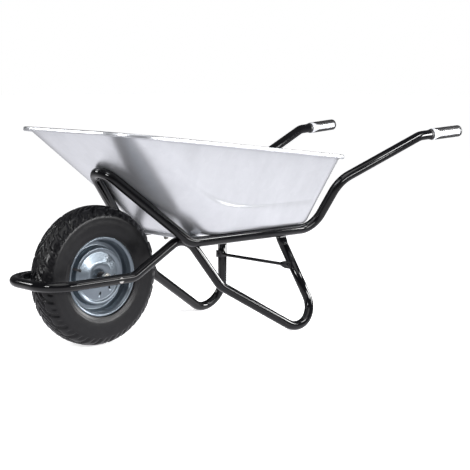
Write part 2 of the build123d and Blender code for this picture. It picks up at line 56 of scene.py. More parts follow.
# ---- materials ----------------------------------------------------------------------------------
class Surface:
    """A node material around one Principled shader, built up in short calls."""

    def __init__(self, name, colour, metallic=0.0, roughness=0.5):
        self.material = bpy.data.materials.new(name)
        self.material.use_nodes = True
        self.tree = self.material.node_tree
        self.shader = self.tree.nodes["Principled BSDF"]
        self.shader.inputs["Base Color"].default_value = (*colour, 1.0)
        self.shader.inputs["Metallic"].default_value = metallic
        self.shader.inputs["Roughness"].default_value = roughness
        coordinates = self.tree.nodes.new("ShaderNodeTexCoord")
        self.place = coordinates.outputs["Object"]
        self.normal = None

    def set(self, **values):
        for name, value in values.items():
            self.shader.inputs[name.replace("_", " ")].default_value = value

    def stretched(self, scale):
        mapping = self.tree.nodes.new("ShaderNodeMapping")
        mapping.inputs["Scale"].default_value = scale
        self.tree.links.new(self.place, mapping.inputs["Vector"])
        return mapping.outputs["Vector"]

    def noise(self, scale, detail=3.0, rough=0.5, stretch=None):
        node = self.tree.nodes.new("ShaderNodeTexNoise")
        node.inputs["Scale"].default_value = scale
        node.inputs["Detail"].default_value = detail
        node.inputs["Roughness"].default_value = rough
        self.tree.links.new(self.stretched(stretch) if stretch else self.place, node.inputs["Vector"])
        return node.outputs["Fac"]

    def cells(self, scale, output="Distance"):
        node = self.tree.nodes.new("ShaderNodeTexVoronoi")
        node.inputs["Scale"].default_value = scale
        self.tree.links.new(self.place, node.inputs["Vector"])
        return node.outputs[output]

    def ranged(self, value, low, high, from_low=0.0, from_high=1.0):
        node = self.tree.nodes.new("ShaderNodeMapRange")
        node.inputs["From Min"].default_value = from_low
        node.inputs["From Max"].default_value = from_high
        node.inputs["To Min"].default_value = low
        node.inputs["To Max"].default_value = high
        self.tree.links.new(value, node.inputs["Value"])
        return node.outputs["Result"]

    def height(self, low, high):
        """1 at the height low, falling to 0 at the height high."""
        split = self.tree.nodes.new("ShaderNodeSeparateXYZ")
        self.tree.links.new(self.place, split.inputs["Vector"])
        return self.ranged(split.outputs["Z"], 1.0, 0.0, low, high)

    def times(self, a, b):
        node = self.tree.nodes.new("ShaderNodeMath")
        node.operation = "MULTIPLY"
        self.tree.links.new(a, node.inputs[0])
        self.tree.links.new(b, node.inputs[1])
        return node.outputs["Value"]

    def mixed(self, factor, first, second):
        node = self.tree.nodes.new("ShaderNodeMix")
        node.data_type = "RGBA"
        self.tree.links.new(factor, node.inputs["Factor"])
        for name, colour in (("A", first), ("B", second)):
            socket = next(s for s in node.inputs if s.name == name and s.type == "RGBA")
            if isinstance(colour, tuple):
                socket.default_value = (*colour, 1.0)
            else:
                self.tree.links.new(colour, socket)
        return next(s for s in node.outputs if s.type == "RGBA")

    def feed(self, name, value):
        self.tree.links.new(value, self.shader.inputs[name])

    def bump(self, value, distance, strength=1.0):
        node = self.tree.nodes.new("ShaderNodeBump")
        node.inputs["Distance"].default_value = distance
        node.inputs["Strength"].default_value = strength
        self.tree.links.new(value, node.inputs["Height"])
        if self.normal is not None:
            self.tree.links.new(self.normal, node.inputs["Normal"])
        self.normal = node.outputs["Normal"]
        self.tree.links.new(self.normal, self.shader.inputs["Normal"])
        return self


def black_paint():
    s = Surface("black_powder_coat", (0.004, 0.004, 0.005), 0.0, 0.12)
    s.set(Specular_IOR_Level=0.3, Coat_Weight=0.08, Coat_Roughness=0.04)
    scuffs = s.ranged(s.noise(38.0, 6.0, 0.7), 0.0, 1.0, 0.60, 0.72)
    worn = s.times(scuffs, s.height(0.0, 0.06))
    s.feed("Base Color", s.mixed(worn, s.mixed(s.noise(9.0), (0.0025, 0.0025, 0.003), (0.005, 0.005, 0.006)),
                                 (0.10, 0.095, 0.09)))
    s.feed("Roughness", s.ranged(s.noise(24.0, 5.0, 0.6), 0.04, 0.12))
    return s.bump(s.noise(220.0, 2.0), 0.00002, 0.15).bump(s.noise(14.0, 1.0), 0.0002, 0.1).material


def galvanised():
    s = Surface("galvanised_sheet", (0.70, 0.715, 0.75), 0.8, 0.3)
    spangle = s.ranged(s.cells(70.0, output="Color"), 0.0, 1.0)
    cloud = s.noise(4.0, 4.0, 0.55)
    streak = s.noise(9.0, 4.0, 0.55, stretch=(1.8, 1.8, 0.14))
    tone = s.mixed(spangle, (0.69, 0.705, 0.735), (0.72, 0.735, 0.765))
    s.feed("Base Color", s.mixed(s.ranged(streak, 0.0, 0.55, 0.4, 0.75), tone, (0.60, 0.615, 0.64)))
    s.feed("Roughness", s.ranged(cloud, 0.27, 0.37))
    return s.bump(streak, 0.0006, 0.25).bump(s.noise(260.0, 2.0), 0.00003, 0.3).material


def zinc():
    s = Surface("zinc_plate", (0.62, 0.61, 0.58), 1.0, 0.3)
    s.feed("Base Color", s.mixed(s.noise(120.0, 4.0), (0.5, 0.49, 0.46), (0.7, 0.69, 0.67)))
    s.feed("Roughness", s.ranged(s.noise(300.0, 4.0), 0.22, 0.45))
    return s.bump(s.noise(900.0, 2.0), 0.00004).material


def rim_paint():
    s = Surface("silver_rim_paint", (0.16, 0.19, 0.22), 0.75, 0.22)
    s.set(Coat_Weight=0.4, Coat_Roughness=0.06)
    s.feed("Base Color", s.mixed(s.noise(14.0, 4.0, 0.5), (0.15, 0.18, 0.21), (0.21, 0.245, 0.28)))
    s.feed("Roughness", s.ranged(s.noise(30.0, 4.0), 0.26, 0.36))
    return s.bump(s.noise(160.0, 2.0), 0.00001, 0.1).material


def tyre_rubber():
    s = Surface("tyre_rubber", (0.02, 0.02, 0.022), 0.0, 0.45)
    s.set(Specular_IOR_Level=0.34)
    dust = s.ranged(s.noise(30.0, 6.0, 0.65), 0.0, 1.0, 0.45, 0.8)
    s.feed("Base Color", s.mixed(dust, (0.002, 0.002, 0.003), (0.006, 0.006, 0.007)))
    s.feed("Roughness", s.ranged(s.noise(60.0, 5.0, 0.6), 0.24, 0.38))
    return s.bump(s.noise(700.0, 3.0), 0.0001).bump(s.noise(90.0, 4.0), 0.0002).material


def soft_black():
    s = Surface("soft_grip_rubber", (0.012, 0.012, 0.013), 0.0, 0.5)
    dots = s.ranged(s.cells(420.0), 1.0, 0.0, 0.1, 0.45)
    s.feed("Base Color", s.mixed(s.noise(80.0, 4.0), (0.010, 0.010, 0.011), (0.022, 0.022, 0.023)))
    s.feed("Roughness", s.ranged(s.noise(150.0, 4.0), 0.4, 0.62))
    return s.bump(dots, 0.0003, 0.7).material


def moulded(name, dark, light):
    s = Surface(name, light, 0.0, 0.4)
    s.feed("Base Color", s.mixed(s.noise(60.0, 4.0), dark, light))
    s.feed("Roughness", s.ranged(s.noise(200.0, 4.0), 0.3, 0.5))
    return s.bump(s.noise(1200.0, 2.0), 0.00005).material


PAINT = black_paint()
SHEET_METAL = galvanised()
ZINC = zinc()
RIM = rim_paint()
TYRE = tyre_rubber()
SOFT = soft_black()
BLACK = moulded("black_moulding", (0.010, 0.010, 0.011), (0.022, 0.022, 0.024))
GREY = moulded("grey_moulding", (0.46, 0.47, 0.50), (0.60, 0.61, 0.64))

for name, material in {
    "front_crossbar": SHEET_METAL, "rear_crossbar": SHEET_METAL, "tray_bolts": ZINC, "tray_washers": ZINC,
    "tray_nuts": ZINC, "leg_brace": PAINT, "brace_bolts": PAINT, "axle": ZINC, "axle_spacers": BLACK,
    "axle_nuts": ZINC, "grip_core_left": GREY, "grip_core_right": GREY, "grip_pads_left": SOFT,
    "grip_pads_right": SOFT, "grip_cuff_left": SOFT, "grip_cuff_right": SOFT, "inner_tube": TYRE,
    "hub_tube": RIM, "hub_bushes": BLACK, "valve_stem": BLACK, "valve_cap": BLACK,
    "handle_frame": PAINT, "undercarriage": PAINT, "tray": SHEET_METAL, "tyre": TYRE,
    "rim_half_left": RIM, "rim_half_right": RIM,
}.items():
    for slot in nodes[name].material_slots:
        slot.material = material


# ---- mesh helpers -------------------------------------------------------------------------------
def piece(name, points, faces, material, body, slot, node=None):
    """A smooth mesh that rides a body and, where given, stands for a CAD node."""
    mesh = bpy.data.meshes.new(name)
    mesh.from_pydata([tuple(p) for p in points], [], faces)
    mesh.validate()
    mesh.update()
    mesh.materials.append(material)
    mesh.shade_smooth()
    obj = bpy.data.objects.new(name, mesh)
    bpy.context.scene.collection.objects.link(obj)
    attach(obj, body)
    if node:
        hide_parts(node)
    return obj


def bridged(count, rings, closed=True, offset=0):
    """Quads between rings of count points each."""
    faces = []
    last = count if closed else count - 1
    for r in range(rings - 1):
        for i in range(last):
            j = (i + 1) % count
            a = offset + r * count
            faces.append((a + i, a + j, a + count + j, a + count + i))
    return faces


def bent(points, radii):
    """Points along straight runs joined by round bends."""
    line = [points[0]]
    for before, corner, after, radius in zip(points, points[1:], points[2:], radii):
        back = (before - corner).normalized()
        ahead = (after - corner).normalized()
        half = back.angle(ahead) / 2
        reach = radius / tan(half)
        centre = corner + (back + ahead).normalized() * (radius / sin(half))
        first = corner + back * reach - centre
        normal = first.cross(corner + ahead * reach - centre).normalized()
        turn = pi - 2 * half
        steps = max(6, int(degrees(turn) / 4))
        line += [centre + Matrix.Rotation(turn * k / steps, 3, normal) @ first for k in range(steps + 1)]
    line.append(points[-1])
    return line


def frames(line):
    """Directions across a line that turn with it and never twist."""
    along = [(b - a).normalized() for a, b in zip(line, line[1:])]
    tangents = [along[0]] + [(a + b).normalized() for a, b in zip(along, along[1:])] + [along[-1]]
    side = tangents[0].cross(Vector((0, 0, 1))).normalized()
    result = []
    for tangent in tangents:
        side = (side - tangent * side.dot(tangent)).normalized()
        result.append((tangent, side, tangent.cross(side)))
    return result


def tube_mesh(line, radius, sides=40):
    """Rings of a round tube along a line, with closed ends. Radius may vary along it."""
    points = []
    for k, (p, (_, u, v)) in enumerate(zip(line, frames(line))):
        r = radius(k) if callable(radius) else radius
        points += [p + (u * cos(2 * pi * i / sides) + v * sin(2 * pi * i / sides)) * r for i in range(sides)]
    faces = bridged(sides, len(line))
    faces.append(tuple(reversed(range(sides))))
    faces.append(tuple(range((len(line) - 1) * sides, len(line) * sides)))
    return points, faces


def joined(*parts):
    """Several (points, faces) lists as one."""
    points, faces = [], []
    for p, f in parts:
        faces += [tuple(i + len(points) for i in face) for face in f]
        points += p
    return points, faces


def turned_faces(count, segments):
    """Quads of a profile of count points turned right round."""
    faces = []
    for k in range(segments):
        a, b = k * count, (k + 1) % segments * count
        faces += [(a + i, a + i + 1, b + i + 1, b + i) for i in range(count - 1)]
    return faces


def lathe(profile, origin, axis, start, segments):
    """A profile of (radius, offset along the axis) turned about an axis."""
    axis = axis.normalized()
    u = (start - axis * start.dot(axis)).normalized()
    v = axis.cross(u)
    points = []
    for k in range(segments):
        out = u * cos(2 * pi * k / segments) + v * sin(2 * pi * k / segments)
        points += [origin + out * (r * MM) + axis * (y * MM) for r, y in profile]
    return points, turned_faces(len(profile), segments)


def smoothed(points, cuts=6):
    """A smooth curve through 2-D points."""
    ends = [points[0]] + list(points) + [points[-1]]
    out = []
    for a, b, c, d in zip(ends, ends[1:], ends[2:], ends[3:]):
        for k in range(cuts):
            t = k / cuts
            out.append(tuple(
                0.5 * (2 * q + (r - p) * t + (2 * p - 5 * q + 4 * r - s) * t * t
                       + (3 * q - p - 3 * r + s) * t ** 3)
                for p, q, r, s in zip(a, b, c, d)
            ))
    return out + [points[-1]]


def rounded(points, radius, cuts=5):
    """2-D points with each inner corner rounded off by about radius."""
    points = [Vector(p) for p in points]
    out = [points[0]]
    for before, corner, after in zip(points, points[1:], points[2:]):
        reach = min(radius, (before - corner).length * 0.45, (after - corner).length * 0.45)
        a = corner + (before - corner).normalized() * reach
        b = corner + (after - corner).normalized() * reach
        for k in range(cuts + 1):
            t = k / cuts
            out.append(a * (1 - t) ** 2 + corner * 2 * t * (1 - t) + b * t * t)
    return [tuple(p) for p in out + [points[-1]]]


def soft_step(value, edge, width):
    """0 well under the edge, 1 well over it, and an even ramp of the given width between."""
    t = max(0.0, min(1.0, (value - edge) / width + 0.5))
    return t * t * (3 - 2 * t)


def thick(obj, thickness, offset):
    """Gives a sheet its thickness and bakes it into the mesh."""
    solid = obj.modifiers.new("thickness", "SOLIDIFY")
    solid.thickness = thickness
    solid.offset = offset
    baked(obj)


def baked(obj):
    """Puts an object's modifiers into its mesh."""
    graph = bpy.context.evaluated_depsgraph_get()
    mesh = bpy.data.meshes.new_from_object(obj.evaluated_get(graph))
    obj.modifiers.clear()
    obj.data = mesh


# ---- frame tubes --------------------------------------------------------------------------------
HANDLE_R = 15.0
LOWER_R = 14.0
GRIP_END = (-1256.0, 285.0, 589.0)       # stations of the handle tube, grip to front loop
HANDLE_TOP = (-1086.0, 271.0, 577.0)
HANDLE_KNEE = (-764.0, 225.0, 445.0)
TRAY_REAR = (-722.0, 156.0, 298.0)
TRAY_FRONT = (-232.0, 150.0, 289.5)
FRONT_APEX = (41.0, 0.0, 549.5)
HANDLE_BENDS = (70.0, 85.0, 70.0, 45.0)  # bend radii between those stations
FRONT_BEND = 50.0
GRIP_REACH = 0.96                        # share of the grip that the tube fills

LEG_TOP = (-604.0, 135.5, 296.0)         # stations of the lower tube, leg to bumper
LEG_TOP_Z = 252.0                        # where the leg starts to flatten
FOOT = (-710.0, 252.0, -67.3)
KNEE = (-340.0, 157.0, 154.5)
CREST = (-238.0, 115.0, 311.0)
FORK_REAR = (-52.0, 115.5, 202.8)
FORK_FRONT = (230.0, 115.5, 196.6)
LOWER_BENDS = (67.0, 60.0, 57.0, 55.0, 83.0)

BLADE_HALF = 19.0         # half of the flattened leg top's width
BLADE_HALF_THICK = 4.0
BLADE_LENGTH = 33.0
BEAD_R = 3.2              # weld beads
BEAD_OFFSET = 5.0         # how far each bead lies beside the line where the tubes touch
WELD_REACH = 3.5          # how far apart the tubes may be and still be welded


def both_sides(stations, middle=()):
    """Stations on the left, then those in the middle, then the left ones mirrored."""
    left = [at(*p) for p in stations]
    right = [at(x, -y, z) for x, y, z in reversed(stations)]
    return left + [at(*p) for p in middle] + right


def handle_line():
    points = both_sides([GRIP_END, HANDLE_TOP, HANDLE_KNEE, TRAY_REAR, TRAY_FRONT], [FRONT_APEX])
    points[0] = points[1] + (points[0] - points[1]) * GRIP_REACH
    points[-1] = points[-2] + (points[-1] - points[-2]) * GRIP_REACH
    return bent(points, [r * MM for r in (*HANDLE_BENDS, FRONT_BEND, *reversed(HANDLE_BENDS))])


def leg_end():
    """Where the round leg ends and its flattened top begins, in millimetres."""
    foot = Vector(FOOT)
    top = Vector((LEG_TOP[0], LEG_TOP[1] - 1.0, LEG_TOP[2] - 24.0))
    return foot + (top - foot) * ((LEG_TOP_Z - foot.z) / (top.z - foot.z))


def lower_line():
    stations = [tuple(leg_end()), FOOT, KNEE, CREST, FORK_REAR, FORK_FRONT]
    return bent(both_sides(stations), [r * MM for r in (*LOWER_BENDS, *reversed(LOWER_BENDS))])


def leg_blade(side):
    """The leg's top, pressed from round to flat."""
    foot, end = Vector(FOOT), leg_end()
    blade = Vector((LEG_TOP[0], LEG_TOP[1], LEG_TOP[2] - 20.0))
    ahead = (end - foot).normalized()
    points, sides, rings = [], 40, 17
    for k in range(rings):
        t = k / (rings - 1)
        if t <= 0.6:
            s = t / 0.6
            ease = s * s * (3 - 2 * s)
            centre = end + (blade - end) * s
        else:
            ease = 1.0
            centre = blade + Vector((0, 0, BLADE_LENGTH)) * ((t - 0.6) / 0.4)
        up = (ahead * (1 - ease) + Vector((0, 0, 1)) * ease).normalized()
        u = (Vector((1, 0, 0)) - up * up.x).normalized()
        v = up.cross(u)
        wide = LOWER_R + (BLADE_HALF - LOWER_R) * ease
        deep = LOWER_R - (LOWER_R - BLADE_HALF_THICK) * ease
        power = 2.0 / (2.0 + 3.0 * ease)
        for i in range(sides):
            c, d = cos(2 * pi * i / sides), sin(2 * pi * i / sides)
            x = wide * abs(c) ** power * (1 if c > 0 else -1)
            y = deep * abs(d) ** power * (1 if d > 0 else -1)
            p = centre + u * x + v * y
            points.append(at(p.x, side * p.y, p.z))
    faces = bridged(sides, rings)
    faces.append(tuple(range((rings - 1) * sides, rings * sides)))
    return points, faces


def bead(line, width):
    """A weld bead along a line, with its ripples."""
    fine = []
    for a, b in zip(line, line[1:]):
        steps = max(2, int((b - a).length / (0.8 * MM)))
        fine += [a + (b - a) * (k / steps) for k in range(steps)]
    fine.append(line[-1])
    count = len(fine)

    def radius(k):
        end = min(k, count - 1 - k) / 4
        return width * MM * min(1.0, 0.35 + 0.65 * end) * (1 + 0.10 * cos(2 * pi * k / 4))

    return tube_mesh(fine, radius, 12)


def crest_beads(upper, lower, side):
    """Beads over and under the line where the lower tube touches the handle tube."""
    touching = []
    for p, (t, _, _) in zip(lower, frames(lower)):
        if p.y * side < 0:
            continue
        q = min(upper, key=lambda h: (h - p).length)
        gap, foot = 1.0, q
        for a, b in zip(upper, upper[1:]):
            if min((a - p).length, (b - p).length) > 0.4:
                continue
            s = max(0.0, min(1.0, (p - a).dot(b - a) / (b - a).length_squared))
            near = a + (b - a) * s
            if (near - p).length < gap:
                gap, foot = (near - p).length, near
        if gap < (HANDLE_R + LOWER_R + WELD_REACH) * MM:
            out = (foot - p).normalized()
            touching.append((p + out * LOWER_R * MM, out.cross(t).normalized()))
    if len(touching) < 3:
        return []
    over = [p + n * BEAD_OFFSET * MM for p, n in touching]
    under = [p - n * BEAD_OFFSET * MM for p, n in touching]
    return [bead(over, BEAD_R), bead(under, BEAD_R)]


upper_line = handle_line()
under_line = lower_line()
piece("frame_upper_tube", *tube_mesh(upper_line, HANDLE_R * MM, 48),
      PAINT, "frame", "black_paint", "handle_frame")
welds = []
for side in (LEFT, RIGHT):
    welds += crest_beads(upper_line, under_line, side)
    for edge in (-18.5, 18.5):
        foot_of_bead = at(LEG_TOP[0] + edge, side * 141.5, 287.0)
        top_of_bead = at(LEG_TOP[0] + edge, side * 140.5, 303.0)
        welds.append(bead([foot_of_bead, top_of_bead], BEAD_R))
piece("frame_lower_tube", *joined(tube_mesh(under_line, LOWER_R * MM, 48), leg_blade(LEFT), leg_blade(RIGHT)),
      PAINT, "frame", "black_paint", "undercarriage")
piece("frame_welds", *joined(*welds), PAINT, "frame", "black_paint")


# ---- tray ---------------------------------------------------------------------------------------
SHEET = 1.5
FRONT_X, _, FRONT_Z = TRAY_FRONT
REAR_X, _, REAR_Z = TRAY_REAR
TILT = atan2(REAR_Z - FRONT_Z, FRONT_X - REAR_X)
FLOOR_FRONT, FLOOR_REAR, FLOOR_HALF = 7.2, 472.0, 166.0      # floor's edges, behind the front bend
CREASE_Z, CREASE_HALF = 82.0, 214.0                          # the crease's height and half width
RIM_Z_FRONT, RIM_Z_REAR, RIM_X_FRONT, RIM_X_REAR = 316.0, 214.0, 315.0, 505.0
RIM_HALF_FRONT, RIM_HALF_REAR = 277.0, 301.0
FRONT_CORNERS = (112.0, 155.0, 118.0)                        # corner radii: floor, crease, rim
REAR_CORNERS = (48.0, 56.0, 72.0)
FLOOR_BEND = 20.0                                            # reach of the bend between floor and wall
LIP_OUT, LIP_DROP = 13.0, 12.5
PANEL_DEPTH = 4.6                                            # the pressed-in panel of each side
PANEL_FOOT = 74.0                                            # height of its lower edge at the rear
PANEL_TURN, PANEL_RUN, PANEL_RISE = 45.0, 60.0, 0.75         # where, how softly and how steeply that rises
DENTS = 0.5                                                  # depth of the sheet's slight waves


def on_floor(x, y, z):
    """Millimetres over the floor's plane, its origin over the front bend of the frame."""
    base_z = FRONT_Z + HANDLE_R / cos(TILT)
    return at(FRONT_X + x * cos(TILT) + z * sin(TILT), y, base_z - x * sin(TILT) + z * cos(TILT))


FALL = atan2(RIM_Z_FRONT - RIM_Z_REAR, RIM_X_FRONT + RIM_X_REAR)


def on_rim(x, y, z):
    """Millimetres over the rim's plane."""
    middle = RIM_Z_FRONT - tan(FALL) * RIM_X_FRONT
    return on_floor(x * cos(FALL) - z * sin(FALL), y, middle + x * sin(FALL) + z * cos(FALL))


def outline(front, rear, front_half, rear_half, front_corner, rear_corner):
    """Points and outward directions round a four-sided outline with rounded corners."""
    corners = [(Vector((front, front_half)), front_corner), (Vector((-rear, rear_half)), rear_corner),
               (Vector((-rear, -rear_half)), rear_corner), (Vector((front, -front_half)), front_corner)]
    arcs = []
    for k in range(4):
        p, r = corners[k]
        back = (corners[k - 1][0] - p).normalized()
        ahead = (corners[(k + 1) % 4][0] - p).normalized()
        half = back.angle(ahead) / 2
        centre = p + (back + ahead).normalized() * (r / sin(half))
        first = (p + back * (r / tan(half)) - centre).normalized()
        last = (p + ahead * (r / tan(half)) - centre).normalized()
        arc = []
        for i in range(19):
            out = first.slerp(last, i / 18)
            arc.append((centre + out * r, out))
        arcs.append(arc)
    ring = []
    for k in range(4):
        ring += arcs[k]
        (a, _), (b, out) = arcs[k][-1], arcs[(k + 1) % 4][0]
        cuts = 26 if k % 2 == 0 else 18
        ring += [(a + (b - a) * (i / cuts), out) for i in range(1, cuts)]
    return ring


def tray_rings():
    """Columns of points from the floor, up the wall and over the lip, right round the tray."""
    up = CREASE_Z / RIM_Z_FRONT
    crease_front = -FLOOR_FRONT + (RIM_X_FRONT + FLOOR_FRONT) * up
    crease_rear = FLOOR_REAR + (RIM_X_REAR - FLOOR_REAR) * CREASE_Z / RIM_Z_REAR
    low = outline(-FLOOR_FRONT, FLOOR_REAR, FLOOR_HALF, FLOOR_HALF, FRONT_CORNERS[0], REAR_CORNERS[0])
    inner_half = FLOOR_HALF - FLOOR_BEND
    inner = outline(-FLOOR_FRONT - FLOOR_BEND, FLOOR_REAR - FLOOR_BEND, inner_half, inner_half,
                    FRONT_CORNERS[0] - FLOOR_BEND, REAR_CORNERS[0] - FLOOR_BEND)
    crease = outline(crease_front, crease_rear, CREASE_HALF, CREASE_HALF, FRONT_CORNERS[1], REAR_CORNERS[1])
    rim = outline(RIM_X_FRONT / cos(FALL), RIM_X_REAR / cos(FALL), RIM_HALF_FRONT, RIM_HALF_REAR,
                  FRONT_CORNERS[2], REAR_CORNERS[2])
    rows = []
    for (a, _), (b, _), (c, _), (d, out) in zip(inner, low, crease, rim):
        crease_x = c.x
        a, b, c = on_floor(a.x, a.y, 0), on_floor(b.x, b.y, 0), on_floor(c.x, c.y, CREASE_Z)
        top = on_rim(d.x, d.y, 0)
        column = []
        wall = (c - b).normalized()
        for k in range(7):
            t = k / 6
            column.append(a * (1 - t) ** 2 + b * 2 * t * (1 - t) + (b + wall * FLOOR_BEND * MM) * t * t)
        soft = 9.0 + 42.0 * soft_step(crease_x, -60.0, 130.0)
        start, stop = c - wall * soft * MM, c + (top - c).normalized() * soft * MM
        column += [column[-1].lerp(start, k / 4) for k in range(1, 4)]
        for k in range(7):
            t = k / 6
            column.append(start * (1 - t) ** 2 + c * 2 * t * (1 - t) + stop * t * t)
        edge = top.lerp(c, 5 * MM / (top - c).length)
        column += [stop.lerp(edge, k / 40) for k in range(1, 41)]
        for grow, lift in LIP:
            column.append(on_rim(d.x + out.x * grow, d.y + out.y * grow, lift))
        rows.append(column)
    return rows


LIP = rounded([(0.0, -1.0), (1.6, 1.5), (LIP_OUT - 0.8, 1.5), (LIP_OUT - 0.6, -LIP_DROP + 3.5),
               (LIP_OUT - 3.2, -LIP_DROP + 1.5)], 4.5, 4)


def over_floor(p):
    """Millimetres ahead of the front bend and over the floor, of a point of the tray."""
    x, z = (p.x - AXLE.x) / MM - FRONT_X, p.z / MM - (FRONT_Z + HANDLE_R / cos(TILT))
    return x * cos(TILT) - z * sin(TILT), x * sin(TILT) + z * cos(TILT)


def panel_depth(p, out):
    """How far a side panel is pressed in: its lower edge sweeps up toward the front of the rim."""
    x, h = over_floor(p)
    edge = PANEL_FOOT + PANEL_RISE * PANEL_RUN * log(1.0 + exp((x + PANEL_TURN) / PANEL_RUN))
    side = soft_step(abs(out.y), 0.36, 0.2) if out.x > 0 else soft_step(abs(out.y), 0.9, 0.09)
    return PANEL_DEPTH * soft_step(h, edge, 9.0) * side


def tray():
    """The pressing: a fan and rings for the floor, then the columns of the walls and lip."""
    rows = tray_rings()
    facing = [(row[-1] - row[-1 - len(LIP)]).normalized() for row in rows]
    for row, out in zip(rows, facing):
        for k in range(len(row) - len(LIP)):
            row[k] = row[k] - out * (panel_depth(row[k], out) * MM)
    count, depth = len(rows), len(rows[0])
    centre = sum((row[0] for row in rows), Vector()) / count
    points = [centre]
    shrink = (0.25, 0.5, 0.75)
    for s in shrink:
        points += [centre.lerp(row[0], s) for row in rows]
    for k in range(depth):
        for row in rows:
            points.append(row[k])
    faces = [(0, 1 + i, 1 + (i + 1) % count) for i in range(count)]
    total = len(shrink) + depth
    faces += [tuple(reversed(f)) for f in bridged(count, total, True, 1)]
    inside = centre + Vector((0, 0, 0.2))
    for i, p in enumerate(points[:1 + count * (total - len(LIP))]):
        wave = noise.noise(p * 7.0) * DENTS * MM
        points[i] = p + (inside - p).normalized() * abs(wave)
    thick(piece("tray_pressing", points, faces, SHEET_METAL, "frame", "galvanised", "tray"), SHEET * MM, -1.0)


tray()


# ---- wheel --------------------------------------------------------------------------------------
SPIN = Vector((0, 1, 0))
AHEAD = Vector((1, 0, 0))
LUGS = 26
TREAD_DEPTH = 6.0
TYRE_R = 200.0
TYRE_SECTION = [(TYRE_R, 0.0), (199.2, 14.0), (196.0, 27.0), (190.0, 36.5), (181.0, 43.6), (168.0, 47.8),
                (153.0, 49.0), (138.0, 48.3), (127.0, 46.4), (115.5, 41.0), (113.0, 36.0)]
RIDGE_R, BEAD_LINE_R = 175.0, 123.0      # raised rings at the top and foot of the sidewall
RIM_SHEET = 1.6
RIM_HOLE_R, RIM_HOLE_CIRCLE, RIM_HOLE_TURNS = 3.5, 49.0, (2.0, 44.0)
VALVE_TURN = 18.0                        # degrees over straight ahead
VALVE_FOOT, VALVE_TIP = (107.0, 12.0), (78.0, 31.0)      # radius and offset of the stem's ends


def groove(position, half_width, softness=0.05):
    """1 in a groove about each whole number, 0 between them."""
    away = abs(position - floor(position + 0.5))
    return 1.0 - soft_step(away, half_width, softness)


def tread(turn, y):
    """Depth of the tread's grooves in millimetres, at a turn from 0 to 1 and an offset y."""
    side = LUGS * turn + (0.5 if y > 0 else 0.0)
    off = abs(y)
    weave = 1.5 * sin(2 * pi * side * 2)
    centre_zone = 1.0 - soft_step(off, 21.0 + weave, 2.0)
    shoulder_zone = soft_step(off, 24.5 + weave, 2.0)
    chevron = groove(2 * side + off / 13.0, 0.17, 0.10) * centre_zone
    lug = groove(side + off / 60.0, 0.13, 0.05) * shoulder_zone
    notch = groove(side + 0.5 + off / 60.0, 0.10, 0.05) * soft_step(off, 38.0, 2.0)
    ring = 1.0 - soft_step(abs(off - 22.7 - weave), 1.4, 1.2)
    return TREAD_DEPTH * max(chevron, lug, 0.55 * notch, ring)


def tyre_mesh():
    """The casing's section turned round the axle, with the tread cut in and rings on the sidewall."""
    fine = smoothed(TYRE_SECTION, 6)
    profile = [(r, -y) for r, y in reversed(fine)][:-1] + fine
    segments = LUGS * 20
    points = []
    for k in range(segments):
        turn = k / segments
        out = Vector((cos(2 * pi * turn), 0, sin(2 * pi * turn)))
        for r, y in profile:
            fade = soft_step(r, 178.0, 8.0)
            depth = tread(turn, y) * fade if r > 172 else 0.0
            ridge = 1 - soft_step(abs(r - RIDGE_R), 1.4, 1.4)
            ridge += 0.7 * (1 - soft_step(abs(r - BEAD_LINE_R), 1.5, 1.5))
            lower = 1.4 * (1 - soft_step(r, 166.0, 14.0)) * soft_step(r, 120.0, 6.0)
            slope = max(0.0, min(1.0, (TYRE_R - r) / 30.0))
            inward = max(0.0, lower - ridge)
            p = AXLE + out * ((r - depth * (1 - 0.5 * slope)) * MM)
            if y:
                p += SPIN * ((abs(y) - depth * 0.6 * slope - inward) * (1 if y > 0 else -1) * MM)
            points.append(p)
    return points, turned_faces(len(profile), segments)


piece("tyre_casing", *tyre_mesh(), TYRE, "wheel", "tyre", "tyre")

DISC = [(107.5, 37.3), (104.5, 33.5), (103.5, 14.0), (98.0, 1.2), (85.0, 1.2), (80.5, 23.0),
        (75.0, 23.0), (70.0, 18.0), (40.0, 27.0), (15.6, 28.0)]


def rim_disc(side, name, node):
    """One pressed half rim: a rolled flange, bead seat, well, raised ring and dished disc."""
    curl = [(110.0 + 3.6 * cos(radians(k)), 36.6 + 2.8 * sin(radians(k))) for k in range(-60, 110, 17)]
    line = curl + rounded(DISC, 3.0, 5)
    points, faces = lathe([(r, y * side) for r, y in line], AXLE, SPIN, AHEAD, 192)
    if side == RIGHT:
        faces = [tuple(reversed(f)) for f in faces]
    obj = piece(name, points, faces, RIM, "wheel", "rim_paint", node)
    thick(obj, RIM_SHEET * MM, 0.0)
    return obj


rim_left = rim_disc(LEFT, "rim_disc_left", "rim_half_left")
rim_disc(RIGHT, "rim_disc_right", "rim_half_right")


def drill(obj, spots, radius):
    """Round holes through a mesh, along the axle."""
    for x, z in spots:
        ends = [AXLE + Vector((x, y, z)) * MM for y in (5.0, 60.0)]
        points, faces = tube_mesh(ends, radius * MM, 24)
        mesh = bpy.data.meshes.new("drill")
        mesh.from_pydata([tuple(p) for p in points], [], faces)
        cutter = bpy.data.objects.new("drill", mesh)
        bpy.context.scene.collection.objects.link(cutter)
        cut = obj.modifiers.new("hole", "BOOLEAN")
        cut.object = cutter
        cut.operation = "DIFFERENCE"
        cut.solver = "EXACT"
        baked(obj)
        bpy.data.objects.remove(cutter)


rim_holes = [(-RIM_HOLE_CIRCLE * sin(radians(t)), -RIM_HOLE_CIRCLE * cos(radians(t))) for t in RIM_HOLE_TURNS]
drill(rim_left, rim_holes, RIM_HOLE_R)


